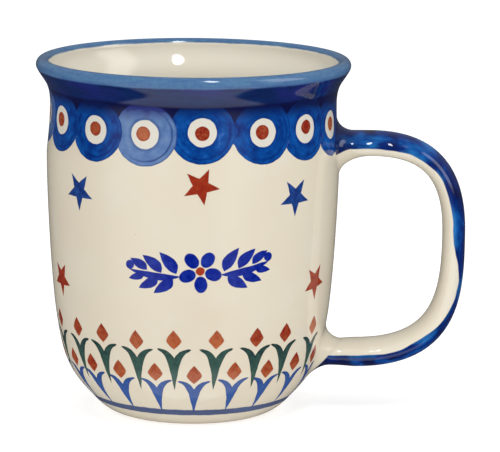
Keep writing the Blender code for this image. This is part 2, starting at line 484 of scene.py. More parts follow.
def limited(value):
    """The value kept between 0 and 1."""
    return calc("ADD", value, 0.0, clamp=True)


def cover(inside, soft=0.07):
    """1 where inside is above zero and 0 below, with a soft edge of that many millimetres."""
    return calc("MULTIPLY_ADD", inside, 0.5 / soft, 0.5, clamp=True)


def rise(value, low, high):
    """0 at low and 1 at high, eased at both ends."""
    node = fed_node("MapRange", value, low, high)
    node.interpolation_type = "SMOOTHSTEP"
    return Field(node.outputs["Result"])


def point_of(x, y, z):
    return Field(fed_node("CombineXYZ", x, y, z).outputs[0])


def parts_of(point):
    return [Field(output) for output in fed_node("SeparateXYZ", point).outputs]


def noise(point, size, detail=2.0, rough=0.5, colour=False):
    """Smooth noise of a given grain size in the point's own units, from about 0 to 1."""
    node = fed_node("TexNoise", point)
    node.inputs["Scale"].default_value = 1 / size
    node.inputs["Detail"].default_value = detail
    node.inputs["Roughness"].default_value = rough
    return Field(node.outputs["Color" if colour else "Fac"])


def mixed(share, low, high):
    """A colour between low and high."""
    node = node_tree([share, low, high]).nodes.new("ShaderNodeMix")
    node.data_type = "RGBA"
    plug(node.inputs[0], share)
    plug(node.inputs[6], low)
    plug(node.inputs[7], high)
    return Field(node.outputs[2])


def chosen(share, low, high):
    """A number that is low where share is 0 and high where it is 1."""
    return low + (high - low) * share


def swing(varied, amount):
    """A noise's ups and downs about its middle, scaled to amount from end to end."""
    return (varied - 0.5) * amount


def rotated(across, up, degrees):
    """The coordinates in a frame turned counter-clockwise by that many degrees."""
    cosine, sine = math.cos(math.radians(degrees)), math.sin(math.radians(degrees))
    return across * cosine + up * sine, up * cosine - across * sine


def looked_up(index, rows, spans):
    """Values chosen by a whole-numbered index; each column lies between minus and plus its span."""
    count = len(rows)
    node = fed_node("ValToRGB", calc("FLOORED_MODULO", index + 0.5, count) / count)
    ramp = node.color_ramp
    ramp.interpolation = "CONSTANT"
    while len(ramp.elements) < count:
        ramp.elements.new(1.0)
    for i in range(count):
        ramp.elements[i].position = i / count
    for element, row in zip(ramp.elements, rows):
        shares = [0.5 + value / (2 * span) for value, span in zip(row, spans)]
        element.color = (shares + [0.5] * 3)[:3] + [1.0]
    columns = parts_of(Field(node.outputs[0]))
    return [(column - 0.5) * (2 * span) for column, span in zip(columns, spans)]


# ------------------------ painted colours
def srgb(red, green, blue):
    """Linear colour from 8-bit display values."""
    linear = []
    for value in (red, green, blue):
        share = value / 255
        linear.append(share / 12.92 if share <= 0.04045 else ((share + 0.055) / 1.055) ** 2.4)
    return (*linear, 1.0)


CREAM = srgb(213, 205, 186)
CREAM_WARM = srgb(210, 198, 178)
CREAM_COOL = srgb(212, 207, 193)
INSIDE_CREAM = srgb(226, 219, 203)
INSIDE_COOL = srgb(223, 219, 206)
BARE_CLAY = srgb(205, 192, 172)
SPECK = srgb(150, 128, 104)
RING_CREAM = srgb(209, 204, 192)
COBALT_DEEP = srgb(0, 34, 104)
COBALT = srgb(8, 84, 164)
# Thin cobalt wash, which on one lobe also paints a pale reflection
COBALT_THIN_AND_REFLECTION = srgb(100, 126, 164)
COBALT_PALE = srgb(46, 128, 178)
NAVY = srgb(6, 12, 58)
NECK_INK = srgb(8, 38, 88)
NECK_VIOLET = srgb(32, 32, 112)
LIP_BLUE = srgb(82, 120, 153)
LIP_DEEP = srgb(58, 88, 140)
STAR_BLUE = srgb(34, 70, 138)
STAR_BLUE_DEEP = srgb(10, 32, 92)
INK = srgb(0, 24, 126)
INK_THIN = srgb(38, 62, 158)
RUST = srgb(152, 54, 28)
RUST_DEEP = srgb(126, 26, 16)
RUST_THIN = srgb(168, 92, 56)
LEAF_GREEN = srgb(54, 82, 74)
LEAF_GREEN_DEEP = srgb(16, 36, 44)
LEAF_BLUE = srgb(56, 86, 148)
LEAF_BLUE_DEEP = srgb(34, 62, 118)
LINE_BLUE = srgb(70, 90, 136)
LINE_DEEP = srgb(44, 58, 96)


# The brush's unsteady edge: its size, and the grain of the wandering, in millimetres
BRUSH_WOBBLE = 0.32
WOBBLE_GRAIN = 2.0

# How much of each span the seeded differences use
SEEDED_SHARE = 0.8


class Surface:
    """Where a point of the glaze lies: round the cup in degrees and up it in millimetres."""

    def __init__(self, tree):
        coordinates = tree.nodes.new("ShaderNodeTexCoord")
        place = Field(coordinates.outputs["Object"])
        x, y, z = parts_of(place)
        self.tree = tree
        self.x = (x - AXIS_X) * PER_METRE
        self.y = y * PER_METRE
        self.height = z * PER_METRE
        self.place = point_of(self.x, self.y, self.height)
        self.radius = length_of(self.x, self.y)
        self.turn = direction_of(0.0 - self.y, self.x)
        wobble = noise(self.place, WOBBLE_GRAIN, detail=1.5, colour=True)
        self.wobble_across, self.wobble_up, _ = parts_of(wobble)

    def stored(self, name, output):
        """What is stored on the mesh under a name: Fac reads a number and Vector a triple."""
        node = self.tree.nodes.new("ShaderNodeAttribute")
        node.attribute_name = name
        return Field(node.outputs[output])

    def across(self, degrees):
        """Millimetres round the wall for an angle in degrees, with a brush's unsteady edge."""
        return degrees * self.radius * (math.pi / 180) + swing(self.wobble_across, BRUSH_WOBBLE)

    def above(self, height):
        """Millimetres above a height, with a brush's unsteady edge."""
        return self.height - height + swing(self.wobble_up, BRUSH_WOBBLE)

    def cell(self, count, first):
        """Which of count equal cells the point is in, and the degrees from that cell's middle."""
        step = 360 / count
        from_first = self.turn - first
        index = calc("ROUND", from_first / step)
        return index, from_first - index * step


def scattered(seed, count, spans, hand_set):
    """One row of listed or seeded small differences for each cell, numbered from cell zero."""
    maker = random.Random(seed)
    rows = []
    for _ in range(count):
        rows.append([maker.uniform(-SEEDED_SHARE, SEEDED_SHARE) * span for span in spans])
    for index, row in hand_set.items():
        rows[index % count] = list(row)
    return rows


def no_part(height):
    """A field that is below zero everywhere."""
    return height * 0.0 - 9.0


# ---- the band of blue lobes and eyes under the neck: degrees from the front and millimetres
EYE_COUNT = 16
EYE_FIRST = 3.5
EYE_HEIGHT = 84.9
EYE_RING = 3.95
EYE_DOT = 2.0
LOBE_RADIUS = 8.7
LOBE_NARROWING = 0.96
LOBE_CROTCH = 2.6
BAND_TOP = 92.8
HANDLE_TURN = 90.0
EYES_OFF_HANDLE = 8.0

# Tones of a lobe: its dark arc and rim in from its edge, the halo out from the eye, and where
# the painted shade towards the neck and the navy between the lobes start above the eye's middle
LOBE_ARC_IN = 1.35
LOBE_RIM_IN = 0.40
EYE_HALO_OUT = 0.35
NECK_PAINTED_SHADE_UP = 3.9
NAVY_UP = 2.5

# Round from the front: offset in degrees, offset up in mm, and how pale the lobe is: the brushful's
# tone, and in row -1 a painted reflection
EYE_SPANS = (3.0, 1.5, 1.0)
EYE_ROWS = scattered(11, EYE_COUNT, EYE_SPANS, {
    -3: (0.0, 0.6, -0.3),
    -2: (0.2, -0.1, -0.5),
    # Painted reflection: this lobe's paleness stands for a pale veil of reflected light
    -1: (0.1, -0.1, 0.72),
    0: (0.0, 0.85, -0.2),
    1: (2.0, 0.2, -0.5),
    2: (1.0, -0.1, -0.4),
    3: (-1.0, -0.8, -0.4),
})


# Each dot in its eye: offset across and up in mm, and how heavy the dab was
DOT_SPANS = (0.7, 0.7, 1.0)
DOT_ROWS = scattered(12, EYE_COUNT, DOT_SPANS, {
    -3: (-0.3, 0.2, 0.3),
    -2: (0.0, 0.35, 0.3),
    -1: (-0.5, 0.15, -0.5),
    0: (0.0, -0.3, 0.8),
    1: (-0.3, 0.15, 0.5),
    2: (0.2, 0.5, 0.9),
    3: (0.0, 0.3, -0.3),
})


def from_lobe_middle(across, up):
    """Millimetres from a lobe's middle, in which the lobe is a little wider than it is high."""
    return length_of(across * LOBE_NARROWING, up)


def lobe_place(surface, index, off_middle):
    """A lobe's own coordinates: across, up, and its paleness from -1 to 1, which on one lobe is a
    painted reflection.
    """
    turn_shift, rise_shift, pale = looked_up(index, EYE_ROWS, EYE_SPANS)
    across = surface.across(off_middle - turn_shift)
    up = surface.above(EYE_HEIGHT) - rise_shift
    return across, up, pale


def paint_lobes(surface, colour):
    """Overlapping round dabs of cobalt, each over the next one to its right, with an eye."""
    index, off_middle = surface.cell(EYE_COUNT, EYE_FIRST)
    step = 360 / EYE_COUNT
    own = lobe_place(surface, index, off_middle)
    left = lobe_place(surface, index - 1, off_middle + step)
    under_left = calc("LESS_THAN", from_lobe_middle(left[0], left[1]), LOBE_RADIUS)
    across = chosen(under_left, own[0], left[0])
    up = chosen(under_left, own[1], left[1])
    pale = chosen(under_left, own[2], left[2])
    number = index - under_left

    from_eye = length_of(across, up)
    distance = from_lobe_middle(across, up)
    sideways, upwards = across / from_eye, up / from_eye
    strokes = noise(point_of(distance, sideways * 1.4, upwards * 1.4 + number * 5.3), 1.0, 3.0, 0.6)
    clouds = noise(point_of(across * 0.30, up * 0.30, number * 3.1), 1.0, 2.5, 0.55)
    tone = limited(swing(strokes, 1.0) + swing(clouds, 1.8) + pale * 0.30 + 0.56)
    blue = mixed(tone, COBALT_DEEP, COBALT)
    # Paleness thins the blue: a thin brushful, and on one lobe a painted reflection
    thin = limited(swing(clouds, 1.2) + swing(strokes, 0.5) + pale * 0.85 + 0.08)
    blue = mixed(thin, blue, COBALT_THIN_AND_REFLECTION)

    lower_right = limited(sideways * 0.75 - upwards * 0.55 + 0.30)
    inner_arc = 1.0 - limited(size_of(distance - (LOBE_RADIUS - LOBE_ARC_IN)) * 2.4)
    blue = mixed(inner_arc * lower_right * 0.8, blue, COBALT_DEEP)
    rim = limited((distance - (LOBE_RADIUS - LOBE_RIM_IN)) * 2.6)
    blue = mixed(rim * (lower_right * 0.6 + 0.25), blue, COBALT_DEEP)
    halo = 1.0 - limited(size_of(from_eye - EYE_RING - EYE_HALO_OUT) * 1.5)
    blue = mixed(halo * 0.45, blue, COBALT_DEEP)
    # Painted shade: each lobe darkens towards the neck, where the gloss mirrors dim surroundings
    painted_shade_up = limited((up - NECK_PAINTED_SHADE_UP) * 0.34 + swing(clouds, 1.5) + swing(strokes, 0.6))
    blue = mixed(painted_shade_up * 0.9, blue, mixed(limited(pale), NAVY, NECK_VIOLET))

    above_crotches = cover(surface.above(EYE_HEIGHT - LOBE_CROTCH), 0.2)
    colour = mixed(above_crotches, colour, COBALT)
    colour = mixed(cover(surface.above(EYE_HEIGHT + NAVY_UP), 1.2), colour, NAVY)
    colour = mixed(cover(LOBE_RADIUS - distance), colour, blue)

    beside_handle = limited((size_of(surface.turn - HANDLE_TURN) - EYES_OFF_HANDLE) * 0.5)
    colour = mixed(cover(EYE_RING - from_eye) * beside_handle, colour, RING_CREAM)
    turn_shift, rise_shift, heavy = looked_up(number, DOT_ROWS, DOT_SPANS)
    dot_distance = length_of(across - turn_shift, up - rise_shift)
    dot_tone = limited(swing(noise(surface.place, 0.9, 2.0), 1.4) + heavy * 0.5 + 0.4)
    dot = mixed(dot_tone, RUST_THIN, RUST_DEEP)
    dot = mixed(limited((dot_distance - EYE_DOT + 0.6) * 1.8) * 0.6, dot, RUST_DEEP)
    return mixed(cover(EYE_DOT - dot_distance) * beside_handle, colour, dot)


# Figures with five points: degrees from a point to the notch beside it, and the turn that makes
# straight down zero while it keeps every direction above zero
POINT_HALF = 36.0
FROM_DOWN = 90.0 + 360.0


# ---- stars: each one's turn from the front, height, kind and lean
STAR_RADIUS = {"rust": 5.3, "blue": 5.65}
STAR_WAIST = 2.3
UPPER_STARS = [
    (-94.0, 69.0, "rust", 4.0),
    (-49.3, 67.2, "blue", 0.0),
    (3.0, 71.0, "rust", 11.0),
    (43.0, 66.5, "blue", 0.0),
    (134.0, 68.0, "rust", 7.0),
    (178.0, 70.5, "blue", -5.0),
    (-137.0, 67.0, "blue", 12.0),
]
LOWER_STARS = [
    (-66.0, 40.5, "rust", 2.0),
    (58.5, 40.8, "rust", 6.0),
    (118.0, 42.0, "blue", -6.0),
    (158.0, 40.0, "rust", 9.0),
    (-157.0, 41.5, "blue", 3.0),
    (-112.0, 39.8, "blue", -8.0),
]


def star_inside(surface, turn, height, radius, lean):
    """Millimetres inside a five-pointed star with one point down, seen straight on."""
    off = calc("WRAP", surface.turn - turn, 180.0, -180.0)
    across, up = surface.across(off), surface.above(height)
    distance = length_of(across, up)
    from_point = calc("PINGPONG", direction_of(across, up) + (FROM_DOWN - lean), POINT_HALF)
    waist_turn = math.radians(POINT_HALF)
    edge = Vector((STAR_WAIST * math.cos(waist_turn) - radius, STAR_WAIST * math.sin(waist_turn)))
    facing = math.degrees(math.atan2(-edge.x, edge.y))
    reach = radius * math.cos(math.radians(facing))
    folded = (from_point - facing) * (math.pi / 180)
    return reach - distance * calc("COSINE", folded)


def paint_stars(surface, colour):
    """Rust and blue stars scattered in two loose rows."""
    inside = {"rust": no_part(surface.height), "blue": no_part(surface.height)}
    for turn, height, kind, lean in UPPER_STARS + LOWER_STARS:
        star = star_inside(surface, turn, height, STAR_RADIUS[kind], lean)
        inside[kind] = most(inside[kind], star)
    grain = noise(surface.place, 1.6, 3.0, 0.6)
    tone = limited(swing(grain, 2.2) + 0.45)
    rust = mixed(tone, RUST, RUST_DEEP)
    colour = mixed(cover(inside["rust"]), colour, rust)
    blue = mixed(tone, STAR_BLUE, STAR_BLUE_DEEP)
    return mixed(cover(inside["blue"]), colour, blue)


# ---- the border of buds and leaves round the foot
BORDER_COUNT = 22
LOWER_SPRIG = {"first": 1.8, "bud": 18.0, "crotch": 13.2, "stem": 7.6, "spread": 4.6, "tall": 2.7}
UPPER_SPRIG = {"first": 10.0, "bud": 27.6, "crotch": 22.2, "stem": 9.2, "spread": 4.8, "tall": 2.9}
LINE_LOW = 3.95
LINE_HIGH = 5.9
HANDLE_CLEARANCE = 19.0
BUD_HIGH = 5.6
BUD_WIDE = 4.3
BUD_SAG = 0.12

# Round from the front: offset in degrees, offset up in mm, and how heavy the brushful was
BORDER_SPANS = (2.5, 0.8, 1.0)
UPPER_ROWS = scattered(21, BORDER_COUNT, BORDER_SPANS, {
    -4: (-0.1, 0.2, 0.5),
    -3: (-0.9, 0.2, 0.4),
    -2: (-0.8, -0.5, -0.2),
    -1: (-1.1, 0.1, -0.4),
    0: (0.0, 0.2, -0.5),
    1: (1.1, 0.1, 0.6),
    2: (-0.7, 0.3, 0.8),
    3: (1.9, 0.3, -0.2),
})
LOWER_ROWS = scattered(22, BORDER_COUNT, BORDER_SPANS, {
    -3: (-1.7, 0.1, 0.6),
    -2: (-2.1, -0.2, -0.2),
    -1: (-1.4, 0.0, -0.3),
    0: (-0.8, -0.5, 0.0),
    1: (0.3, 0.3, -0.2),
    2: (0.0, -0.1, 0.1),
    3: (0.1, 0.5, 0.4),
})


def bud_inside(across, up):
    """Millimetres inside a bud with pointed ends, widest a little below its middle."""
    share = up / (BUD_HIGH / 2) + BUD_SAG
    above = share * (1 / (1 + BUD_SAG))
    below = share * (-1 / (1 - BUD_SAG))
    bulge = 1.0 - most(above, below) ** 1.35
    return (bulge * (BUD_WIDE / 2) - size_of(across)) * 0.75


def sprout_inside(across, up, stem, spread, tall):
    """Millimetres inside a two-leaved sprout whose crotch is at up = 0.

    stem is how far its foot reaches below the crotch, spread how wide each leaf's tip lies, and
    tall how high the tips stand above the crotch.
    """
    side = size_of(across)
    upper_edge = (1.0 - calc("EXPONENT", side / spread * -3.0)) * (tall * 1.05)
    flare = 1.0 - calc("EXPONENT", ((side / spread * 3.05) ** 1.25) * -1.0)
    lower_edge = flare * (stem + tall * 0.93) - stem
    beneath = (up - lower_edge) / (1.0 + 2.6 * calc("EXPONENT", side / spread * -2.2))
    blade = least(upper_edge - up + 0.08, beneath + 0.11)
    return least(blade - rise(side, spread * 0.86, spread) * 0.20, (spread - side) * 1.2)


def paint_sprig_row(surface, colour, sprig, rows, leaf, deep):
    """One row of the border: a bud over a two-leaved sprout in each cell."""
    index, off_middle = surface.cell(BORDER_COUNT, sprig["first"])
    turn_shift, rise_shift, heavy = looked_up(index, rows, BORDER_SPANS)
    across = surface.across(off_middle - turn_shift)
    from_handle = size_of(index * (360 / BORDER_COUNT) + sprig["first"] - HANDLE_TURN)
    kept = calc("GREATER_THAN", from_handle, HANDLE_CLEARANCE)
    grain = noise(surface.place, 1.3, 3.0, 0.6)

    leaf_up = surface.above(sprig["crotch"]) - rise_shift * 0.5
    lean = across + leaf_up * heavy * 0.05
    inside = sprout_inside(lean, leaf_up, sprig["stem"], sprig["spread"], sprig["tall"])
    tone = limited(swing(grain, 1.6) + leaf_up * 0.07 + heavy * 0.25 + 0.25)
    edge_pool = 1.0 - limited(inside * 2.2)
    tone = limited(tone + edge_pool * 0.35)
    colour = mixed(cover(inside) * kept, colour, mixed(tone, leaf, deep))

    bud_up = surface.above(sprig["bud"]) - rise_shift
    bud_tone = limited(swing(grain, 1.5) + heavy * 0.45 + bud_up * 0.06 + 0.4)
    bud = mixed(bud_tone, RUST_THIN, RUST_DEEP)
    return mixed(cover(bud_inside(across, bud_up)) * kept, colour, bud)


def paint_border(surface, colour):
    """Two rows of sprigs over a line round the foot."""
    colour = paint_sprig_row(surface, colour, LOWER_SPRIG, LOWER_ROWS, LEAF_BLUE, LEAF_BLUE_DEEP)
    colour = paint_sprig_row(surface, colour, UPPER_SPRIG, UPPER_ROWS, LEAF_GREEN, LEAF_GREEN_DEEP)
    line = least(surface.above(LINE_LOW), 0.0 - surface.above(LINE_HIGH))
    streak = noise(point_of(surface.turn * 0.05, surface.height * 2.0, 4.0), 1.0, 2.0)
    line_tone = limited(swing(streak, 1.6) + 0.5)
    return mixed(cover(line, 0.12) * 0.95, colour, mixed(line_tone, LINE_BLUE, LINE_DEEP))


# ---- the free scroll in front, where such mugs carry a painted word
SCROLL_TURN = 3.0
SCROLL_HEIGHT = 47.4
SCROLL_LEAN = 3.0


def dab_inside(across, up, base, heading, length, width, bend):
    """Millimetres inside a comma-shaped dab that leaves base at a heading and curls by bend."""
    along, off = rotated(across - base[0], up - base[1], heading)
    share = along / length
    off = off - share * share * bend
    past_widest = share - 0.42
    narrowing = 2.97 + 2.70 * calc("LESS_THAN", past_widest, 0.0)
    fullness = 1.0 - past_widest * past_widest * narrowing
    return (fullness * (width / 2) - size_of(off)) * 0.9


# The right half of the spray: base, heading, length, width and bend of each dab
SCROLL_DABS = [
    ((5.4, -1.3), -4.0, 15.0, 2.1, 3.6),
    ((6.6, -0.5), 70.0, 7.4, 3.4, -2.0),
    ((10.7, -0.1), 60.0, 7.0, 3.2, -1.9),
    ((14.8, 0.7), 50.0, 5.6, 2.7, -1.5),
    ((7.6, -1.4), -54.0, 6.8, 3.3, 1.9),
    ((11.7, -1.0), -46.0, 6.4, 3.0, 1.8),
    ((15.5, 0.0), -34.0, 4.9, 2.3, 1.3),
]
SCROLL_TIP = (19.7, 2.2)
SCROLL_TIP_RADIUS = 1.25
PETAL_OUT = 3.75
PETAL_LONG = 2.35
PETAL_WIDE = 1.8
PETAL_DEPTH = 1.6
FLOWER_HEART = 1.2


def paint_scroll(surface, colour):
    """A mirrored spray of brush dabs round a small flower."""
    across = surface.across(surface.turn - SCROLL_TURN)
    across, up = rotated(across, surface.above(SCROLL_HEIGHT), SCROLL_LEAN)
    side = size_of(across)
    inside = SCROLL_TIP_RADIUS - length_of(side - SCROLL_TIP[0], up - SCROLL_TIP[1])
    for base, heading, length, width, bend in SCROLL_DABS:
        inside = most(inside, dab_inside(side, up, base, heading, length, width, bend))

    distance = length_of(across, up)
    petal_turn = calc("PINGPONG", direction_of(across, up) + FROM_DOWN, POINT_HALF) * (math.pi / 180)
    petal_along = (distance * calc("COSINE", petal_turn) - PETAL_OUT) / PETAL_LONG
    petal_off = distance * calc("SINE", petal_turn) / PETAL_WIDE
    inside = most(inside, PETAL_DEPTH - PETAL_DEPTH * length_of(petal_along, petal_off))

    grain = noise(surface.place, 2.2, 3.0, 0.6)
    wash = limited(swing(grain, 1.8) + 0.2)
    pooled = 1.0 - limited(inside * 2.5)
    ink = mixed(pooled * 0.4, mixed(wash, INK, INK_THIN), INK)
    colour = mixed(cover(inside), colour, ink)
    return mixed(cover(FLOWER_HEART - distance), colour, RUST)


# ---- lip, neck and plain ground
LIP_INNER_EDGE = -2.15
LIP_OUTER_EDGE = 98.0
FOOT_BARE = 0.9
DRIFT_GRAIN = 22.0
CLOUD_GRAIN = 9.0
INSIDE_GRAIN = 14.0
SPECKS_PER_MM = 0.32
SPECK_SMALLEST = 0.02
SPECK_RANGE = 0.13
SPECKS_LEFT_OUT = 0.72


def paint_ground(surface):
    """Cream glaze over pale clay, with slow drifts of tone and a few iron specks."""
    drift = noise(surface.place, DRIFT_GRAIN)
    colour = mixed(limited(swing(drift, 1.8) + 0.35), CREAM, CREAM_WARM)
    cloud = noise(surface.place, CLOUD_GRAIN)
    colour = mixed(limited((cloud - 0.55) * 2.0), colour, CREAM_COOL)
    specks = fed_node("TexVoronoi", surface.place)
    specks.inputs["Scale"].default_value = SPECKS_PER_MM
    spot = Field(specks.outputs["Distance"]) / SPECKS_PER_MM
    size, keep, _ = parts_of(Field(specks.outputs["Color"]))
    radius = SPECK_SMALLEST + size * SPECK_RANGE
    speck = cover(radius - spot, 0.05) * cover(keep - SPECKS_LEFT_OUT, 0.01)
    return mixed(speck * 0.55, colour, SPECK)


def paint_lip_and_neck(surface, colour, past_lip):
    """The inky neck, and over it the paler blue of the lip."""
    height = surface.height
    outside = cover(past_lip, 0.2)
    streak = noise(point_of(surface.turn * 0.10, past_lip * 0.9, 1.0), 1.0, 3.0, 0.6)
    fine = noise(surface.place, 1.1, 3.0, 0.6)
    wash = noise(surface.place, CLOUD_GRAIN)

    neck = mixed(limited(swing(streak, 1.5) + 0.35), NECK_INK, NAVY)
    neck = mixed(limited(swing(wash, 2.4) + 0.10), neck, NECK_VIOLET)
    in_neck = outside * cover(surface.above(BAND_TOP) * 0.7, 0.15)
    colour = mixed(in_neck, colour, neck)
    # A dark navy line along the top of the lobe band
    band_top_line = outside * (1.0 - limited(size_of(surface.above(BAND_TOP)) * 1.3))
    colour = mixed(band_top_line * 0.7, colour, NAVY)

    lip_tone = limited(swing(streak, 1.6) + swing(fine, 1.0) + 0.35)
    lip = mixed(lip_tone, LIP_BLUE, LIP_DEEP)
    in_edge = past_lip - LIP_INNER_EDGE + swing(streak, 0.7)
    out_edge = LIP_OUTER_EDGE - height + swing(streak, 0.6)
    lip = mixed(outside * limited(1.0 - (height - LIP_OUTER_EDGE) * 0.9) * 0.5, lip, LIP_DEEP)
    in_lip = cover(in_edge, 0.18) * (1.0 - outside * cover(out_edge, 0.25))
    return mixed(in_lip, colour, lip)


def paint_cup(surface):
    """The whole decorated cup."""
    past_lip = surface.stored("past_lip", "Fac")
    ground = paint_ground(surface)
    colour = paint_border(surface, ground)
    colour = paint_scroll(surface, colour)
    colour = paint_stars(surface, colour)
    colour = paint_lobes(surface, colour)
    inside_tone = limited(swing(noise(surface.place, INSIDE_GRAIN), 1.4) + 0.3)
    inside_glaze = mixed(inside_tone, INSIDE_CREAM, INSIDE_COOL)
    colour = mixed(cover(past_lip, 0.2), inside_glaze, colour)
    return paint_lip_and_neck(surface, colour, past_lip)


# ---- handle: lengths are millimetres along the strap, from the upper root or to the lower one
UPPER_WAVE_LENGTH = 12.6
UPPER_WAVE_FIRST = 3.3
UPPER_WAVE_FADE = (19.0, 25.0)
LOWER_WAVE_LENGTH = 15.0
LOWER_WAVE_FIRST = 0.8
LOWER_WAVE_FADE = (14.0, 20.0)
LOWER_WAVE_STRENGTH = 1.5

# Where the blue's edge moves round the strap and back, and how far out it moves
SLIPPING = (48.0, 65.0)
SLIP = 2.35
RETURNING = (67.5, 83.5)
RETURN = 2.3
EDGE_OFFSET = 0.8
ROOT_POOL = 3.5
ROOT_POOL_DROP = 1.1
LOWER_BLUE_START = 2.5
HANDLE_PALENESS = 0.6


def pull_waves(surface):
    """The faint waves that pulling leaves along both arms near the wall, the lower one stronger."""
    along, _, to_end = parts_of(surface.stored("strap", "Vector"))
    upper = calc("COSINE", (along - UPPER_WAVE_FIRST) * (math.tau / UPPER_WAVE_LENGTH))
    lower = calc("COSINE", (to_end - LOWER_WAVE_FIRST) * (math.tau / LOWER_WAVE_LENGTH))
    upper = upper * (1.0 - rise(along, *UPPER_WAVE_FADE))
    lower = lower * (1.0 - rise(to_end, *LOWER_WAVE_FADE))
    return upper + lower * LOWER_WAVE_STRENGTH


def blue_edge(along):
    """How far out the blue begins: it slips round to the strap's back half way down the loop."""
    slipped = rise(along, *SLIPPING) * SLIP
    returned = rise(along, *RETURNING) * RETURN
    near_wall = limited(1.0 - along / ROOT_POOL) * ROOT_POOL_DROP
    return slipped - returned - near_wall - EDGE_OFFSET


def paint_strap(surface, colour):
    """Cobalt brushed over the strap's outer half; the finger side stays cream."""
    along, out, to_end = parts_of(surface.stored("strap", "Vector"))
    path = point_of(along * 0.14, out * 0.55, surface.y * 0.35)
    streak = noise(path, 1.0, 3.0, 0.6)
    dabs = noise(point_of(along * 0.13, surface.y * 0.10, out * 0.2), 1.0, 2.0, 0.5)
    edge = noise(point_of(along * 0.13, 1.5, 3.0), 1.0, 1.0)
    inside = out - blue_edge(along) + swing(edge, 1.1) + swing(streak, 0.35)

    waves = pull_waves(surface)
    tone = limited(swing(streak, 2.8) + swing(dabs, 2.8) + 0.20)
    blue = mixed(tone, COBALT_DEEP, COBALT)
    thin = limited((dabs - 0.58) * 3.0 + swing(streak, 1.4) + limited(1.0 - inside * 0.6) * 0.55)
    blue = mixed(thin * 0.55, blue, COBALT_PALE)
    # Darker at each wave's crest and hollow: cobalt pooled in the hollows, and painted shade on the
    # crests
    dark = limited((0.46 - dabs) * 5.0 + swing(streak, 1.6) + waves * waves * 0.75 + 0.25)
    # Darkest next to the upper root: cobalt pooled in the join, and painted shade in the crease
    root_pool_and_shade = limited(1.2 - along * 0.18) * 0.9
    dark = most(dark * limited(0.2 + inside * 0.5), root_pool_and_shade)
    blue = mixed(dark * 0.85, blue, NAVY)

    start = to_end + out * 0.5 - LOWER_BLUE_START + swing(edge, 1.4)
    return mixed(cover(least(inside, start), 0.12), colour, blue)


# ------------------------ materials
# Roughness, then the heights and grains of the unevenness in millimetres
GLAZE_ROUGHNESS = 0.07
MATT_SPREAD = 0.05
MATT_GRAIN = 5.0
CLAY_ROUGHNESS = 0.75
ROLL_HEIGHT = 0.022
ROLL_GRAIN = 7.0
PEEL_HEIGHT = 0.003
PEEL_GRAIN = 0.9
WAVE_HEIGHT = 0.27
SAND_HEIGHT = 0.05
SAND_GRAIN = 0.35
GLAZE_IOR = 1.5


def glazed(name, paint, bare_foot=False, pulled=False):
    """A clear gloss glaze over painted stoneware, with the glaze's slight unevenness."""
    material = bpy.data.materials.new(name)
    material.use_nodes = True
    tree = material.node_tree
    shader = tree.nodes["Principled BSDF"]
    surface = Surface(tree)
    colour = paint(surface)

    roll = noise(surface.place, ROLL_GRAIN)
    peel = noise(surface.place, PEEL_GRAIN)
    relief = roll * ROLL_HEIGHT + peel * PEEL_HEIGHT
    if pulled:
        relief = relief + pull_waves(surface) * WAVE_HEIGHT
    roughness = GLAZE_ROUGHNESS + swing(noise(surface.place, MATT_GRAIN, 3.0), MATT_SPREAD)
    if bare_foot:
        ring = least(FOOT_BARE - surface.height, surface.radius - FOOT_REST_INNER / MM + 0.5)
        bare = cover(ring + swing(surface.wobble_up, 0.5), 0.12)
        sand = noise(surface.place, SAND_GRAIN, 3.0, 0.7)
        colour = mixed(bare, colour, mixed(sand, BARE_CLAY, SPECK))
        roughness = chosen(bare, roughness, CLAY_ROUGHNESS)
        relief = relief + bare * sand * SAND_HEIGHT
    plug(shader.inputs["Base Color"], colour)
    plug(shader.inputs["Roughness"], roughness)
    shader.inputs["IOR"].default_value = GLAZE_IOR

    bump = tree.nodes.new("ShaderNodeBump")
    bump.inputs["Strength"].default_value = 1.0
    bump.inputs["Distance"].default_value = MM
    plug(bump.inputs["Height"], relief)
    plug(shader.inputs["Normal"], Field(bump.outputs["Normal"]))
    return material


def paint_handle(surface):
    """The strap: paler cream than the cup, with the blue over it."""
    ground = mixed(HANDLE_PALENESS, paint_ground(surface), INSIDE_CREAM)
    return paint_strap(surface, ground)


def paint_upper_roll(surface):
    """The upper slip roll, where the lobes run on under the strap's blue."""
    colour = paint_lobes(surface, paint_ground(surface))
    return paint_strap(surface, colour)


def paint_lower_roll(surface):
    """The lower slip roll: cream, with the blue only on its outer side."""
    return paint_strap(surface, paint_ground(surface))


# ------------------------ studio
CAMERA_AWAY = 0.920
CAMERA_RISE_DEG = 10.7
CAMERA_ROLL_DEG = 0.53
LOOK_AT = Vector((-0.00030, 0.0, 0.05255))
LENS_MM = 232.3
SENSOR_WIDE_MM = 36.0
CLIP_START = 0.01
AMBIENT = 0.68
BACKDROP = 1.35
FLOOR_HALF = 12.0
FLOOR_GREY = (0.5, 0.5, 0.5, 1.0)
FLOOR_GLOW = 0.72

# Soft lights: name, degrees round from the camera towards the handle, degrees up, metres away,
# width and height in metres, and strength
KEY_LIGHT = ("key", 16.5, 60, 1.0, 0.14, 0.38, 18.0)
FILL_LIGHTS = [
    ("left_panel", -42, 12, 1.6, 1.3, 1.5, 0.75),
    ("right_panel", 38, 12, 1.8, 1.0, 1.6, 1.1),
    ("top_panel", 0, 88, 1.6, 1.6, 1.6, 0.8),
]


def aimed(obj, target, roll_deg=0.0):
    """The object, turned so that its -Z axis points at the target."""
    heading = (target - obj.location).to_track_quat("-Z", "Y")
    obj.rotation_mode = "QUATERNION"
    obj.rotation_quaternion = heading @ Quaternion((0, 0, 1), math.radians(roll_deg))
    return obj


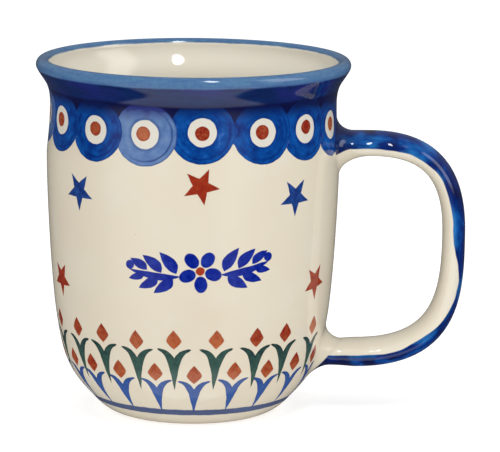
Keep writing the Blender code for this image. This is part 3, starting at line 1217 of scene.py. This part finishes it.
def add_camera():
    """A long lens that looks along +Y and about 11 degrees down."""
    data = bpy.data.cameras.new("studio_camera")
    data.lens = LENS_MM
    data.sensor_width = SENSOR_WIDE_MM
    data.clip_start = CLIP_START
    camera = in_scene("studio_camera", data)
    rise_angle = math.radians(CAMERA_RISE_DEG)
    back = -CAMERA_AWAY * math.cos(rise_angle)
    camera.location = (AXIS_X, back, HEIGHT / 2 + CAMERA_AWAY * math.sin(rise_angle))
    aimed(camera, LOOK_AT, CAMERA_ROLL_DEG)
    bpy.context.scene.camera = camera


def add_softbox(name, turn, lift, away, wide, high, strength):
    """An oval soft light aimed at the middle of the mug."""
    data = bpy.data.lights.new(name, "AREA")
    data.shape = "ELLIPSE"
    data.size = wide
    data.size_y = high
    data.energy = strength * math.pi * wide * high
    light = in_scene(name, data)
    flat = away * math.cos(math.radians(lift))
    x = flat * math.sin(math.radians(turn))
    y = -flat * math.cos(math.radians(turn))
    middle = Vector((0, 0, HEIGHT / 2))
    light.location = middle + Vector((x, y, away * math.sin(math.radians(lift))))
    return aimed(light, middle)


def add_floor():
    """A pale matt floor that glows enough to look white beside the shadow."""
    mesh = bpy.data.meshes.new("floor")
    corners = [(-1, -1, 0), (1, -1, 0), (1, 1, 0), (-1, 1, 0)]
    corners = [(x * FLOOR_HALF, y * FLOOR_HALF, z) for x, y, z in corners]
    mesh.from_pydata(corners, [], [(0, 1, 2, 3)])
    floor = in_scene("floor", mesh)
    material = bpy.data.materials.new("pale_floor")
    material.use_nodes = True
    shader = material.node_tree.nodes["Principled BSDF"]
    shader.inputs["Base Color"].default_value = FLOOR_GREY
    shader.inputs["Emission Color"].default_value = (1.0, 1.0, 1.0, 1.0)
    shader.inputs["Emission Strength"].default_value = FLOOR_GLOW
    shader.inputs["Roughness"].default_value = 1.0
    shader.inputs["Specular IOR Level"].default_value = 0.0
    mesh.materials.append(material)
    floor.visible_glossy = False


# What the gloss mirrors besides the key light: middle and half size in degrees round and up, the
# softness of the edges in degrees, and brightness
ROOM_PANELS = [
    (-2.0, 70.0, -62.0, 20.0, 5.0, 0.95),
    (-46.0, 24.0, -10.0, 18.0, 14.0, 0.55),
    (32.0, 10.0, -10.0, 18.0, 12.0, 0.45),
    (75.0, 15.0, 31.0, 22.0, 6.0, 2.80),
    (180.0, 75.0, 28.0, 24.0, 10.0, 0.12),
]
ROOM_DARK = 0.05
ROOM_ABOVE = 0.12


def room_brightness(heading):
    """How bright the gloss sees the studio in a direction: dim, with a few soft pale panels."""
    x, y, z = parts_of(heading)
    around = direction_of(0.0 - y, x)
    lift = calc("ARCSINE", z) * (180 / math.pi)
    room = ROOM_DARK + rise(z, 0.0, 0.9) * ROOM_ABOVE
    for turn, half_wide, middle, half_high, soft, bright in ROOM_PANELS:
        off_turn = calc("WRAP", around - turn, 180.0, -180.0)
        beside = rise(size_of(off_turn), half_wide + soft, half_wide - soft)
        beyond = rise(size_of(lift - middle), half_high + soft, half_high - soft)
        room = room + beside * beyond * bright
    return room


def add_world():
    """White surroundings for the eye and for the clay, and the dim room for gloss."""
    world = bpy.data.worlds.new("studio")
    bpy.context.scene.world = world
    world.use_nodes = True
    tree = world.node_tree
    tree.nodes.clear()
    output = tree.nodes.new("ShaderNodeOutputWorld")
    rays = tree.nodes.new("ShaderNodeLightPath")
    heading = tree.nodes.new("ShaderNodeTexCoord")
    room = room_brightness(Field(heading.outputs["Generated"]))
    gloss = tree.nodes.new("ShaderNodeBackground")
    plug(gloss.inputs["Color"], point_of(room, room, room))
    plain = tree.nodes.new("ShaderNodeBackground")
    seen = Field(rays.outputs["Is Camera Ray"])
    plug(plain.inputs["Strength"], chosen(seen, AMBIENT, BACKDROP))
    mix = tree.nodes.new("ShaderNodeMixShader")
    tree.links.new(rays.outputs["Is Glossy Ray"], mix.inputs[0])
    tree.links.new(plain.outputs[0], mix.inputs[1])
    tree.links.new(gloss.outputs[0], mix.inputs[2])
    tree.links.new(mix.outputs[0], output.inputs[0])


def add_studio():
    """Floor, surroundings, and four lights, of which the gloss mirrors only the key."""
    add_floor()
    add_world()
    add_softbox(*KEY_LIGHT)
    for row in FILL_LIGHTS:
        add_softbox(*row).visible_glossy = False
    bpy.context.scene.view_settings.view_transform = "Standard"


# ------------------------ the mug
def place_piece(piece, material, node):
    """Gives a piece its material, hangs it under the root body and hides the CAD node it takes the
    place of.
    """
    piece.data.materials.append(material)
    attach(piece, "root")
    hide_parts(node)


def build_mug():
    """The four pieces of clay, each in place of its plain CAD node."""
    place_piece(make_cup(), glazed("cup_glaze", paint_cup, bare_foot=True), "body")
    place_piece(make_handle(), glazed("strap_glaze", paint_handle, pulled=True), "handle")
    upper = make_slip_roll("upper_slip_roll", UPPER_ARM, UPPER_SWELL, -1)
    upper_glaze = glazed("upper_roll_glaze", paint_upper_roll, pulled=True)
    place_piece(upper, upper_glaze, "upper_luting")
    lower = make_slip_roll("lower_slip_roll", LOWER_ARM, LOWER_ROOT_SWELL, 1)
    lower_glaze = glazed("lower_roll_glaze", paint_lower_roll, pulled=True)
    place_piece(lower, lower_glaze, "lower_luting")


add_camera()
build_mug()
add_studio()
